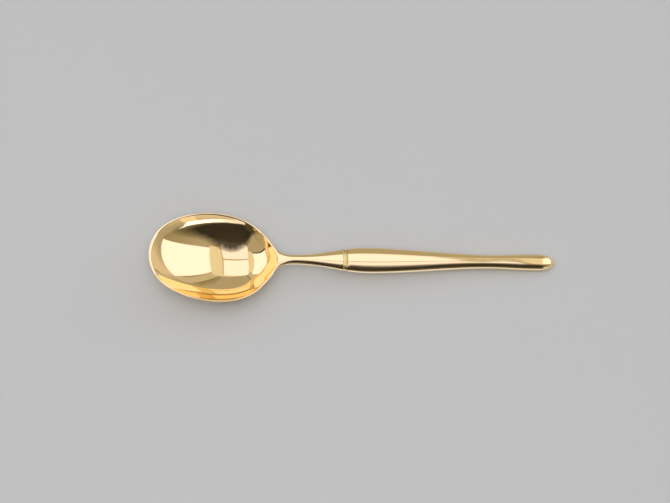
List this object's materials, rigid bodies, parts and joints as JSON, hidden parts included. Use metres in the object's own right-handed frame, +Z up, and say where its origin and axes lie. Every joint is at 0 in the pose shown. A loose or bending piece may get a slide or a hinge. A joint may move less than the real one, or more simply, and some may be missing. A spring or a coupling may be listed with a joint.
{
  "type": "demitasse spoon",
  "caption": "Small gilt coffee spoon with an oval bowl, a slim neck, a narrow ferrule band and a tapering hollow handle, for stirring and serving.",
  "frame": {"origin": "on the table, under the middle of the spoon's box, as the spoon lies with its bowl up", "axes": "+X along the spoon from the bowl's tip to the handle's end, +Z up from the table, +Y across"},
  "size_m": [0.1078, 0.0254, 0.0109],
  "materials": {
    "gilt_bowl": "mirror-polished gold plate over brass",
    "gilt_band": "gold plate over brass, turned and lightly brushed",
    "gilt_handle": "mirror-polished gold plate over pressed brass",
    "cement": "dark resin cement, never seen"
  },
  "bodies": {
    "root": {"bowl_and_shank": "gilt_bowl", "ferrule_band": "gilt_band", "handle_upper_half": "gilt_handle", "handle_lower_half": "gilt_handle", "cement_fill": "cement"}
  },
  "joints": []
}
